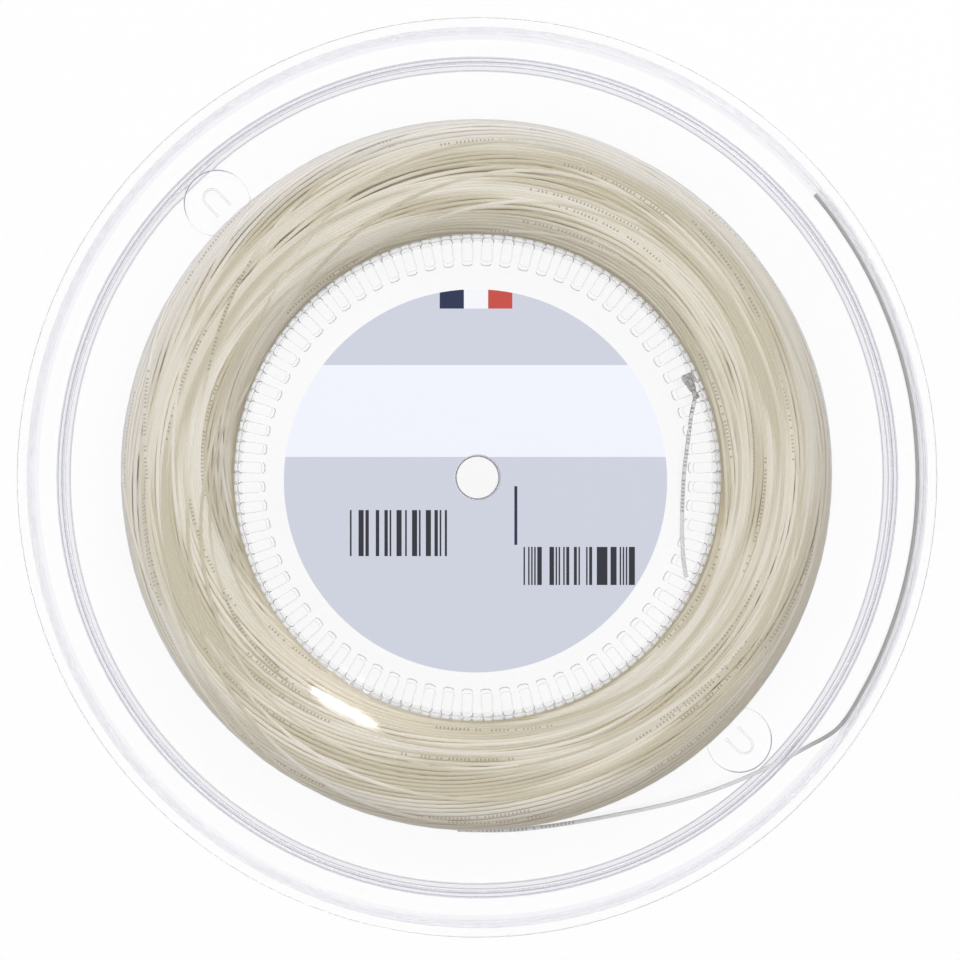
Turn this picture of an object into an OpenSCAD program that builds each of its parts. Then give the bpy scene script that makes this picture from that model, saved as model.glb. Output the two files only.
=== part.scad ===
// Clear two-part reel holding a wound racket string.
// It lies flat on its back flange: the axis is +Z, and the origin is the
// middle of the resting face. Lengths are in millimetres.

/* [Shell] */
// Overall diameter over the rim lips
reel_d = 280; // [270:1:300]
// Overall thickness, outer face to outer face
reel_h = 28; // [24:0.5:34]
// Wall thickness of the moulded halves
wall = 1.2; // [0.9:0.1:1.6]
// How far the rim lip stands out past the rim skirt
lip_w = 3.7; // [2:0.1:6]
// Thickness of the rim lip
lip_t = 1; // [0.6:0.1:1.4]
// Width of the low outer band of each flange
band_w = 9.3; // [6:0.1:12]
// Depth of the low outer band below the raised face
step_drop = 2.5; // [1.5:0.1:4]
// Radial run of the sloping step between face and band
step_run = 1.8; // [1:0.1:3]
// Outer radius of the rounded corner between band and skirt
corner_r = 2; // [1.7:0.1:3]
// Inner radius of the bends between face, step, band and lip
bend_r = 0.4; // [0.2:0.1:0.6]
// Slit between the two rims, where the string is drawn out
rim_slit = 1; // [0.6:0.1:1.2]

/* [Bore] */
// Diameter of the bore through both collars
bore_d = 12.5; // [8:0.1:16]
// Chamfer at the mouths of the bore
bore_chamfer = 0.4; // [0.2:0.1:0.8]
// Gap between the two collars where they meet
collar_gap = 0.2; // [0.1:0.1:0.6]

/* [Hub] */
// Outer diameter of the toothed hub wall that the string is wound on
hub_d = 146.8; // [130:0.2:150]
// Number of teeth on each half
teeth = 72; // [60:1:72]
// Thickness of a tooth
tooth_t = 1; // [0.8:0.1:1.4]
// Gap between neighbouring teeth of the two halves
tooth_gap = 0.28; // [0.2:0.02:0.6]
// Clearance between a tooth tip and the opposite half
tip_gap = 0.1; // [0.05:0.05:0.5]
// Height of the tapered lead-in at a tooth tip
lead_h = 3; // [1:0.5:6]
// How much the lead-in takes off each side of a tooth tip
lead_in = 0.35; // [0.1:0.05:0.6]

/* [Windows] */
// Length of a hub window, along the radius
window_len = 7; // [4:0.1:9]
// Width of a hub window
window_w = 3.16; // [2.2:0.02:3.4]
// Corner radius of a hub window
window_r = 1; // [0.4:0.1:1.08]
// Web left between a window and the tooth wall
window_edge = 0.2; // [0.1:0.05:1]

/* [String clips] */
// Diameter of the tilted dish round a clip tongue
dish_d = 20; // [14:0.5:22]
// Depth of the dish at its outer end
dish_depth = 0.5; // [0.2:0.05:0.6]
// Face left between the dish and the step
dish_edge = 1.2; // [0.6:0.1:4]
// Width of a clip tongue
tongue_w = 4.8; // [3:0.1:7]
// Length of the tongue's straight sides
tongue_len = 4.8; // [3:0.1:7]
// Width of the slit round the tongue
tongue_kerf = 0.4; // [0.3:0.05:0.8]
// Tongue tip's round centre, outwards from the dish centre
tongue_shift = 2.2; // [0:0.1:4]
// Place of the front half's clip, counter-clockwise from +X
front_clip_angle = 133.5; // [0:0.5:360]
// Place of the back half's clip, seen from the front
back_clip_angle = 315; // [0:0.5:360]

/* [Label] */
// Diameter of the paper label on the front
label_d = 115.5; // [90:0.5:125]
// Thickness of the label
label_t = 0.15; // [0.1:0.05:0.3]
// Diameter of the label's centre hole
label_hole_d = 14; // [14:0.1:20]
// How far the label was stuck to the left of the axis
label_left = 0.6; // [0:0.1:2]
// How far the label was stuck below the axis
label_low = 1; // [0:0.1:2]

/* [String] */
// Diameter of the string
string_d = 1.25; // [1:0.01:1.4]
// Outer diameter of the winding
coil_d = 215.4; // [180:0.2:222]
// Corner radius of the winding's section
coil_corner_r = 5; // [3:0.5:8]
// Turns of the drawn outer layer of the winding
coil_turns = 24; // [12:1:24]
// Clearance round the soft string
soft_gap = 0.3; // [0.2:0.05:0.5]
// Length of the knot at the string's inner end
knot_len = 7.6; // [6:0.1:10]
// Thickness of that knot
knot_d = 3.6; // [3:0.1:5]

/* [Hidden] */

$fa = 2;
$fs = 0.4;
eps = 0.01;
bend_steps = 5;

// Radii and heights of the shell, from the outside in
reel_r = reel_d / 2;
skirt_r = reel_r - lip_w;
foot_r = skirt_r - band_w;
face_r = foot_r - step_run;
bore_r = bore_d / 2;
hub_r = hub_d / 2;
tooth_foot_r = hub_r - tooth_t;
half_h = reel_h / 2;
rim_z = half_h - rim_slit / 2;
lip_round = 0.49 * lip_t;
rim_round = 0.25 * wall;

// How far the step's inner wall lies inwards of its outer wall
step_in = wall * (norm([step_run, step_drop]) - step_run) / step_drop;

// Teeth of the two halves alternate; the windows line up with the back half's
tooth_pitch = 360 / teeth;
front_tooth_angle = 0;
back_tooth_angle = tooth_pitch / 2;
window_angle = back_tooth_angle;
tooth_w = 2 * PI * tooth_foot_r / (2 * teeth) - tooth_gap;
tooth_h = reel_h - wall - tip_gap;
window_out_r = tooth_foot_r - window_edge;

clip_r = face_r - dish_edge - dish_d / 2;

// ---- shell halves ----

// Radial section of one half: outer face on the X axis, inside upwards.
// Each corner is [radius, height, rounding]; the wall keeps its thickness round the bends.
half_corners = [
  [bore_r, bore_chamfer, 0], [bore_r + bore_chamfer, 0, 0],
  [face_r, 0, bend_r + wall], [foot_r, step_drop, bend_r],
  [skirt_r, step_drop, corner_r], [skirt_r, rim_z - lip_t, bend_r],
  [reel_r, rim_z - lip_t, lip_round], [reel_r, rim_z, lip_round],
  [skirt_r - wall, rim_z, 0], [skirt_r - wall, step_drop + wall, corner_r - wall],
  [foot_r - step_in, step_drop + wall, bend_r + wall], [face_r - step_in, wall, bend_r],
  [bore_r + wall, wall, bend_r], [bore_r + wall, half_h - collar_gap / 2, rim_round],
  [bore_r, half_h - collar_gap / 2, rim_round]];

// Turns each corner of an outline into an arc of its own radius
function unit(v) = v / norm(v);
function arc(a, b, c, r) =
  let (u = unit(a - b), v = unit(c - b), half = acos(u * v) / 2,
       middle = b + unit(u + v) * r / sin(half), reach = r / tan(half),
       from = b + u * reach - middle, to = b + v * reach - middle,
       start = atan2(from.y, from.x),
       turn = (atan2(to.y, to.x) - start + 540) % 360 - 180)
  [for (i = [0 : bend_steps]) let (t = start + turn * i / bend_steps) middle + r * [cos(t), sin(t)]];
function rounded(corners) =
  let (n = len(corners), p = [for (c = corners) [c.x, c.y]])
  [for (i = [0 : n - 1])
     each corners[i][2] > 0 ? arc(p[(i + n - 1) % n], p[i], p[(i + 1) % n], corners[i][2]) : [p[i]]];

module half_section() {
  polygon(rounded(half_corners));
}

// One hub tooth: a flat tab with a tapered tip, standing at angle 0
module tooth() {
  translate([tooth_foot_r, 0, 0]) rotate([90, 0, 90])
    linear_extrude(tooth_t)
      polygon([[-tooth_w / 2, 0], [tooth_w / 2, 0], [tooth_w / 2, tooth_h - lead_h],
               [tooth_w / 2 - lead_in, tooth_h], [lead_in - tooth_w / 2, tooth_h],
               [-tooth_w / 2, tooth_h - lead_h]]);
}

module tooth_ring(angle) {
  for (i = [0 : teeth - 1])
    rotate(angle + i * tooth_pitch) tooth();
}

// Outline of one window, its outer end at window_out_r
module window_outline() {
  in_r = window_out_r - window_len;
  translate([in_r, window_r - window_w / 2]) square([window_len, window_w - 2 * window_r]);
  translate([in_r + window_r, -window_w / 2]) square([window_len - 2 * window_r, window_w]);
  for (x = [in_r + window_r, window_out_r - window_r], side = [-1, 1])
    translate([x, side * (window_w / 2 - window_r)]) circle(window_r);
}

module window_ring() {
  for (i = [0 : teeth - 1])
    rotate(window_angle + i * tooth_pitch) window_outline();
}

// Outline of a clip tongue with its tip at +X, grown by a margin
module tongue_outline(grow) {
  half_w = tongue_w / 2 + grow;
  circle(half_w);
  translate([-tongue_len, -half_w]) square([tongue_len, 2 * half_w]);
}

// The U-shaped slit that frees the tongue
module tongue_slit() {
  difference() {
    tongue_outline(tongue_kerf);
    tongue_outline(0);
    translate([-2 * tongue_len, -tongue_w / 2]) square([2 * tongue_len, tongue_w]);
  }
  for (side = [-1, 1])
    translate([-tongue_len, side * (tongue_w + tongue_kerf) / 2]) circle(tongue_kerf);
}

// Tilted dish cut in the outer face: nothing at its inner end, dish_depth at its outer end
module clip_dish() {
  tilt = atan(dish_depth / dish_d);
  rotate([0, -tilt, 0]) translate([0, 0, dish_depth / 2 - wall]) cylinder(d = dish_d, h = wall);
}

// One half of the shell with its outer face at z = 0, opening upwards
module shell_half(tooth_angle, clip_angle) {
  difference() {
    union() {
      rotate_extrude() half_section();
      tooth_ring(tooth_angle);
    }
    translate([0, 0, -eps]) linear_extrude(wall + 2 * eps) window_ring();
    rotate(clip_angle) translate([clip_r, 0, 0]) {
      translate([tongue_shift, 0, -eps]) linear_extrude(wall + 2 * eps) tongue_slit();
      clip_dish();
    }
  }
}

module back_half() {
  color([0.93, 0.94, 0.97, 0.35]) shell_half(back_tooth_angle, back_clip_angle);
}

module front_half() {
  color([0.93, 0.94, 0.97, 0.35])
    translate([0, 0, reel_h]) mirror([0, 0, 1])
      shell_half(front_tooth_angle, front_clip_angle);
}

// ---- label ----

module front_label() {
  color([0.82, 0.83, 0.88])
    translate([0, 0, reel_h]) linear_extrude(label_t)
      difference() {
        translate([-label_left, -label_low]) circle(d = label_d);
        circle(d = label_hole_d);
      }
}

// ---- string ----

string_r = string_d / 2;
ring_steps = 24;
ring_sides = 6;

// A turn is drawn with straight steps, whose middles dip towards the axis
chord_dip = cos(180 / ring_steps);

// Section path that the outer layer's centre line follows
path_out_r = coil_d / 2 - string_r;
path_in_r = (norm([hub_r, tooth_w / 2]) + soft_gap + string_r) / chord_dip;
path_top_z = reel_h - wall - soft_gap - string_r;
path_low_z = wall + soft_gap + string_r;
face_run = path_out_r - coil_corner_r - path_in_r;
rim_run = path_top_z - path_low_z - 2 * coil_corner_r;
bend_run = coil_corner_r * PI / 2;
path_run = 2 * face_run + 2 * bend_run + rim_run;

// Plain core under the outer layer
core_in_r = norm([hub_r, tooth_w / 2]) + soft_gap;
core_out_r = path_out_r * chord_dip - string_r - soft_gap;
core_drop = string_r + soft_gap;
core_corner_r = max(coil_corner_r - core_drop, 1);

// Place [radius, height] at a distance along the section path: back face, rim, front face
function section_at(s) =
  let (a = face_run, b = a + bend_run, c = b + rim_run, d = c + bend_run)
  s < a ? [path_in_r + s, path_low_z]
  : s < b ? let (t = (s - a) / bend_run * 90)
      [path_out_r - coil_corner_r + coil_corner_r * sin(t), path_low_z + coil_corner_r - coil_corner_r * cos(t)]
  : s < c ? [path_out_r, path_low_z + coil_corner_r + s - b]
  : s < d ? let (t = (s - c) / bend_run * 90)
      [path_out_r - coil_corner_r + coil_corner_r * cos(t), path_top_z - coil_corner_r + coil_corner_r * sin(t)]
  : [path_out_r - coil_corner_r - (s - d), path_top_z];

// The winding turns so that the free end leaves between two of its turns
winding_start = 96;
function winding_point(i) =
  let (p = section_at(path_run * i / (ring_steps * coil_turns)),
       a = winding_start + 360 * i / ring_steps)
  [p.x * cos(a), p.x * sin(a), p.y];
winding_path = [for (i = [0 : ring_steps * coil_turns]) winding_point(i)];

// Least gap between two turns, measured on the points of the path
winding_gap = min([for (i = [0 : len(winding_path) - 1],
                        j = [i + ring_steps / 2 : len(winding_path) - 1])
                     norm(winding_path[i] - winding_path[j])]) - string_d;
echo(str("least gap of the winding to itself: ", winding_gap, " mm"));

// Sweeps a round tube along a path of points, closed at both ends
function tangent(path, i) =
  let (n = len(path) - 1) unit(path[min(i + 1, n)] - path[max(i - 1, 0)]);
function side_of(t) = abs(t.z) > 0.9 ? unit(cross([1, 0, 0], t)) : unit(cross([0, 0, 1], t));
function tube_ring(path, i, r, sides) =
  let (t = tangent(path, i), u = side_of(t), v = cross(t, u))
  [for (k = [0 : sides - 1]) path[i] + r * (cos(k * 360 / sides) * u + sin(k * 360 / sides) * v)];

module tube(path, r, sides) {
  n = len(path);
  points = [for (i = [0 : n - 1]) each tube_ring(path, i, r, sides), path[0], path[n - 1]];
  walls = [for (i = [0 : n - 2], k = [0 : sides - 1])
    let (a = i * sides + k, b = i * sides + (k + 1) % sides)
    each [[a, a + sides, b], [b, a + sides, b + sides]]];
  caps = [for (k = [0 : sides - 1])
    each [[k, (k + 1) % sides, n * sides],
          [(n - 1) * sides + (k + 1) % sides, (n - 1) * sides + k, n * sides + 1]]];
  polyhedron(points, concat(walls, caps));
}

// Smooth path through chosen points, with a number of steps between each two
function spline_at(p, i, t) =
  let (n = len(p) - 1, a = p[max(i - 1, 0)], b = p[i], c = p[i + 1], d = p[min(i + 2, n)])
  0.5 * (2 * b + (c - a) * t + (2 * a - 5 * b + 4 * c - d) * t * t
         + (3 * b - a - 3 * c + d) * t * t * t);
function smooth(p, steps) =
  [for (i = [0 : len(p) - 2], k = [0 : steps - 1]) spline_at(p, i, k / steps), p[len(p) - 1]];

// Free outer end: off the coil, out to the skirt and round inside it
outer_end_route = [
  [-6, -107.2, 14], [4, -107.4, 14], [14, -107, 14], [28, -105.2, 14], [44, -102.3, 14],
  [60, -98.8, 14], [74, -94.4, 14], [88, -88.4, 14], [100, -82.2, 14], [110, -76, 14],
  [117.5, -64.6, 14], [123.6, -52, 14], [128.5, -38.3, 14], [131.9, -24.1, 14],
  [133.7, -9.9, 14], [133.9, 6, 14], [132.3, 22, 14], [128.8, 37.4, 14], [123.6, 52, 14],
  [116.8, 65.9, 14], [108.6, 78.7, 14], [102.8, 86.1, 14]];

// Free inner end: from the knot across the hub cavity down to the back web
inner_end_route = [
  [66.2, 24, 15.5], [65.2, 19, 15], [64.2, 11, 13.4], [63.2, 2, 11], [62.8, -7, 8.4],
  [62.8, -16, 6], [63.2, -23, 4.1], [63.9, -28.5, 2.9], [64.4, -30.6, 2.6]];

module string_winding() {
  color([0.88, 0.86, 0.76]) tube(winding_path, string_r, ring_sides);
}

module string_core() {
  top = path_top_z - core_drop;
  low = path_low_z + core_drop;
  out = core_out_r - core_corner_r;
  color([0.80, 0.77, 0.66]) rotate_extrude() {
    translate([core_in_r, low]) square([out - core_in_r, top - low]);
    translate([core_in_r, low + core_corner_r])
      square([core_out_r - core_in_r, top - low - 2 * core_corner_r]);
    for (z = [low + core_corner_r, top - core_corner_r])
      translate([out, z]) circle(core_corner_r);
  }
}

module string_outer_end() {
  color([0.86, 0.86, 0.84]) tube(smooth(outer_end_route, 3), string_r, 8);
}

module string_inner_end() {
  color([0.72, 0.72, 0.74]) tube(smooth(inner_end_route, 3), string_r, 8);
}

// Stopper knot that lies along the inside of the hub wall
knot_angle = 23.2;
knot_z = 16;
module string_knot() {
  color([0.62, 0.60, 0.56])
    rotate(knot_angle) translate([tooth_foot_r - soft_gap - knot_d / 2, 0, knot_z])
      rotate([90, 0, 0]) {
        cylinder(d = knot_d, h = knot_len - knot_d, center = true);
        for (side = [-1, 1])
          translate([0, 0, side * (knot_len - knot_d) / 2]) sphere(d = knot_d);
      }
}

front_half();
back_half();
front_label();
string_core();
string_winding();
string_outer_end();
string_inner_end();
string_knot();
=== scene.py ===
"""A clear two-part reel wound with racket string, dressed for a studio view.

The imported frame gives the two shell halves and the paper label, and the string
is made here. Lengths are in metres, in the frame's axes: +Z runs from the back
of the reel to its labelled front, and the reel lies on its back at z = 0.
"""
import logging
import math
from dataclasses import dataclass
from enum import Enum
from typing import Any, NamedTuple, Sequence

import bpy
import numpy as np
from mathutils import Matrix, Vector


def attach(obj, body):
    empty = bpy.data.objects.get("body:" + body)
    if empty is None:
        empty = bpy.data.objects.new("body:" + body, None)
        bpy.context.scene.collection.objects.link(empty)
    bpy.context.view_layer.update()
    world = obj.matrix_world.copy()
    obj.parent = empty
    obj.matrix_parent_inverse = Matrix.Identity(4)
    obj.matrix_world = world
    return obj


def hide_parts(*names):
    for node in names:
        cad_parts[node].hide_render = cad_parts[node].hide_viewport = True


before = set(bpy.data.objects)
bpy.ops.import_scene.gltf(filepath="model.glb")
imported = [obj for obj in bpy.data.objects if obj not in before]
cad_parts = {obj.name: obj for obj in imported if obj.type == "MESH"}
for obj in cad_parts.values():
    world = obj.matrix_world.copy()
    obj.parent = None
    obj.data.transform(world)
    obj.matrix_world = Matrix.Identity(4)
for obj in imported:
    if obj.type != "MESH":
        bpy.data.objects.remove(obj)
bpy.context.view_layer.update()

log = logging.getLogger("string_reel")

MM = 0.001
STRING_D = 1.25 * MM
WHITE = (1.0, 1.0, 1.0, 1.0)
Color = tuple[float, float, float]
Point = tuple[float, float, float]
Span = tuple[float, float]
Socket = bpy.types.NodeSocket
Node = bpy.types.Node
Material = bpy.types.Material
Piece = bpy.types.Object


def mm(*sizes: float) -> tuple[float, ...]:
    """Turn millimetres into metres."""
    return tuple(size * MM for size in sizes)


def srgb(*display: int) -> Color:
    """Turn an 8-bit display colour into the linear colour that shaders take."""
    shares = [value / 255 for value in display]
    return tuple(s / 12.92 if s <= 0.04045 else ((s + 0.055) / 1.055) ** 2.4 for s in shares)


def add_object(name: str, data: bpy.types.ID) -> Piece:
    """Make an object of a mesh, lamp or camera and link it to the scene.

    Args:
        name: The object's name.
        data: What it shows.

    Returns:
        The object.
    """
    made = bpy.data.objects.new(name, data)
    bpy.context.scene.collection.objects.link(made)
    return made


def assign(piece: Piece, node: str) -> Piece:
    """Hide the node of the frame that a piece of string replaces, and attach the piece to the root body.

    Args:
        piece: The piece.
        node: The node's name.

    Returns:
        The same piece.
    """
    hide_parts(node)
    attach(piece, "root")
    return piece


class Tree:
    """A node tree written as nested calls, for materials and for geometry."""

    def __init__(self, tree: bpy.types.NodeTree) -> None:
        """Take an existing tree and empty it."""
        self.tree = tree
        tree.nodes.clear()

    def add(self, kind: str, feeds: dict[Any, Any] | None = None, **settings: Any) -> Node:
        """Add a node and feed its inputs.

        Args:
            kind: The node's type.
            feeds: Input name or number to a socket, a node for its first output, or a constant.
            settings: Attributes of the node itself.

        Returns:
            The new node.
        """
        node = self.tree.nodes.new(kind)
        for name, value in settings.items():
            setattr(node, name, value)
        for key, value in (feeds or {}).items():
            if isinstance(value, Node):
                value = value.outputs[0]
            if isinstance(value, Socket):
                self.tree.links.new(value, node.inputs[key])
            else:
                node.inputs[key].default_value = value
        return node

    def math(self, operation: str, *values: Socket | float) -> Socket:
        """Return the result of a Math node on up to three values."""
        return self.add("ShaderNodeMath", dict(enumerate(values)), operation=operation).outputs[0]

    def product(self, *values: Socket | float) -> Socket:
        """Return the product of several values."""
        result = values[0]
        for value in values[1:]:
            result = self.math("MULTIPLY", result, value)
        return result

    def scaled(self, vector: Socket | Node, factor: Socket) -> Socket:
        """Return a vector times a factor."""
        return self.add("ShaderNodeVectorMath", {0: vector, "Scale": factor}, operation="SCALE").outputs[0]

    def vector(self, x: Socket | float, y: Socket | float, z: Socket | float = 0.0) -> Socket:
        """Return a vector of three values."""
        return self.add("ShaderNodeCombineXYZ", {0: x, 1: y, 2: z}).outputs[0]

    def ramp(self, value: Socket, limits: Span, ends: Span, kind: str = "LINEAR") -> Socket:
        """Return a value that goes from one end to the other between two limits."""
        names = ("Value", "From Min", "From Max", "To Min", "To Max")
        feeds = dict(zip(names, (value, *limits, *ends)))
        return self.add("ShaderNodeMapRange", feeds, interpolation_type=kind).outputs["Result"]


class GeometryTree(Tree):
    """The node tree of a new Geometry Nodes group."""

    def __init__(self, name: str, inputs: dict[str, str]) -> None:
        """Make a group that takes and gives a geometry.

        Args:
            name: The group's name.
            inputs: Its other inputs, name to type.
        """
        self.group = bpy.data.node_groups.new(name, "GeometryNodeTree")
        super().__init__(self.group)
        for given, kind in {"Geometry": "Geometry", **inputs}.items():
            self.group.interface.new_socket(name=given, in_out="INPUT", socket_type=f"NodeSocket{kind}")
        self.group.interface.new_socket(name="Geometry", in_out="OUTPUT", socket_type="NodeSocketGeometry")
        self.given = self.add("NodeGroupInput").outputs

    @staticmethod
    def put_on(piece: Piece, group: bpy.types.NodeTree, sizes: dict[str, Any]) -> None:
        """Give a piece a modifier that runs a group.

        Args:
            piece: The piece.
            group: The group.
            sizes: Input name to value.
        """
        modifier = piece.modifiers.new(group.name, "NODES")
        modifier.node_group = group
        for item in group.interface.items_tree:
            if item.in_out == "INPUT" and item.name in sizes:
                modifier[item.identifier] = sizes[item.name]


class Polar(NamedTuple):
    """A place's direction and distance from an axis, as sockets."""

    cos: Socket
    sin: Socket
    radius: Socket


class MaterialTree(Tree):
    """The node tree of a new material."""

    def __init__(self, name: str) -> None:
        """Make an empty node material.

        Args:
            name: The material's name.
        """
        self.material = bpy.data.materials.new(name)
        self.material.use_nodes = True
        super().__init__(self.material.node_tree)

    def place(self) -> Socket:
        """Return the object coordinates, in metres."""
        return self.add("ShaderNodeTexCoord").outputs["Object"]

    def attribute(self, name: str, output: str) -> Socket:
        """Return an output of a named mesh attribute."""
        return self.add("ShaderNodeAttribute", attribute_name=name).outputs[output]

    def way(self) -> Socket:
        """Return the surface's own direction, in object space."""
        return self.add("ShaderNodeTexCoord").outputs["Normal"]

    def axes(self, vector: Socket) -> tuple[Socket, Socket, Socket]:
        """Return the X, Y and Z of a vector."""
        split = self.add("ShaderNodeSeparateXYZ", {0: vector})
        return split.outputs[0], split.outputs[1], split.outputs[2]

    def radius(self, x: Socket, y: Socket) -> Socket:
        """Return the length of a plane vector."""
        return self.math("SQRT", self.math("ADD", self.product(x, x), self.product(y, y)))

    def polar(self, x: Socket, y: Socket) -> Polar:
        """Return the direction and length of a plane vector."""
        radius = self.radius(x, y)
        return Polar(self.math("DIVIDE", x, radius), self.math("DIVIDE", y, radius), radius)

    def facing(self, at: Polar, degrees: float) -> Socket:
        """Return the cosine of the angle between a place's direction and a fixed one."""
        a = math.radians(degrees)
        return self.math("ADD", self.product(at.cos, math.cos(a)), self.product(at.sin, math.sin(a)))

    def rest(self, cover: Socket) -> Socket:
        """Return what a cover leaves open, 1 less the cover."""
        return self.math("SUBTRACT", 1.0, cover)

    def noise(self, vector: Socket, scale: float, detail: float = 2.0) -> Socket:
        """Return a noise value from 0 to 1 at a place."""
        feeds = {"Vector": vector, "Scale": scale, "Detail": detail}
        return self.add("ShaderNodeTexNoise", feeds).outputs["Fac"]

    def dice(self, value: Socket) -> Socket:
        """Return a random value from 0 to 1 for each whole number."""
        return self.add("ShaderNodeTexWhiteNoise", {"W": value}, noise_dimensions="1D").outputs["Value"]

    def between(self, value: Socket, low: float, high: float) -> Socket:
        """Return 1 where a value lies between two limits, else 0."""
        above = self.math("GREATER_THAN", value, low)
        return self.product(above, self.math("LESS_THAN", value, high))

    def rise(self, value: Socket, low: float, high: float, top: float = 1.0) -> Socket:
        """Return a smooth rise from 0 at the low limit to a top value at the high one."""
        return self.ramp(value, (low, high), (0.0, top), "SMOOTHSTEP")

    def blend(self, factor: Socket, under: Socket | Color, over: Socket | Color) -> Socket:
        """Return a colour over another one, by a factor."""
        under, over = (c if isinstance(c, Socket) else (*c, 1.0) for c in (under, over))
        feeds = {"Factor": factor, "A": under, "B": over}
        return self.add("ShaderNodeMix", feeds, data_type="RGBA").outputs["Result"]

    def bump(self, height: Socket, distance: float, strength: float = 1.0) -> Socket:
        """Return a normal that a height field, times a distance, has turned."""
        feeds = {"Height": height, "Distance": distance, "Strength": strength}
        return self.add("ShaderNodeBump", feeds).outputs["Normal"]

    def principled(self, **feeds: Any) -> Node:
        """Return a Principled shader; an underscore in a name stands for a space."""
        named = {name.replace("_", " "): value for name, value in feeds.items()}
        return self.add("ShaderNodeBsdfPrincipled", named)

    def finish(self, surface: Node, volume: Node | None = None) -> Material:
        """Join the shaders to the output.

        Args:
            surface: The surface shader.
            volume: The volume shader, if there is one.

        Returns:
            The finished material.
        """
        feeds = {"Surface": surface} | ({"Volume": volume} if volume else {})
        self.add("ShaderNodeOutputMaterial", feeds)
        return self.material


# ---- finishes ----


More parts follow.
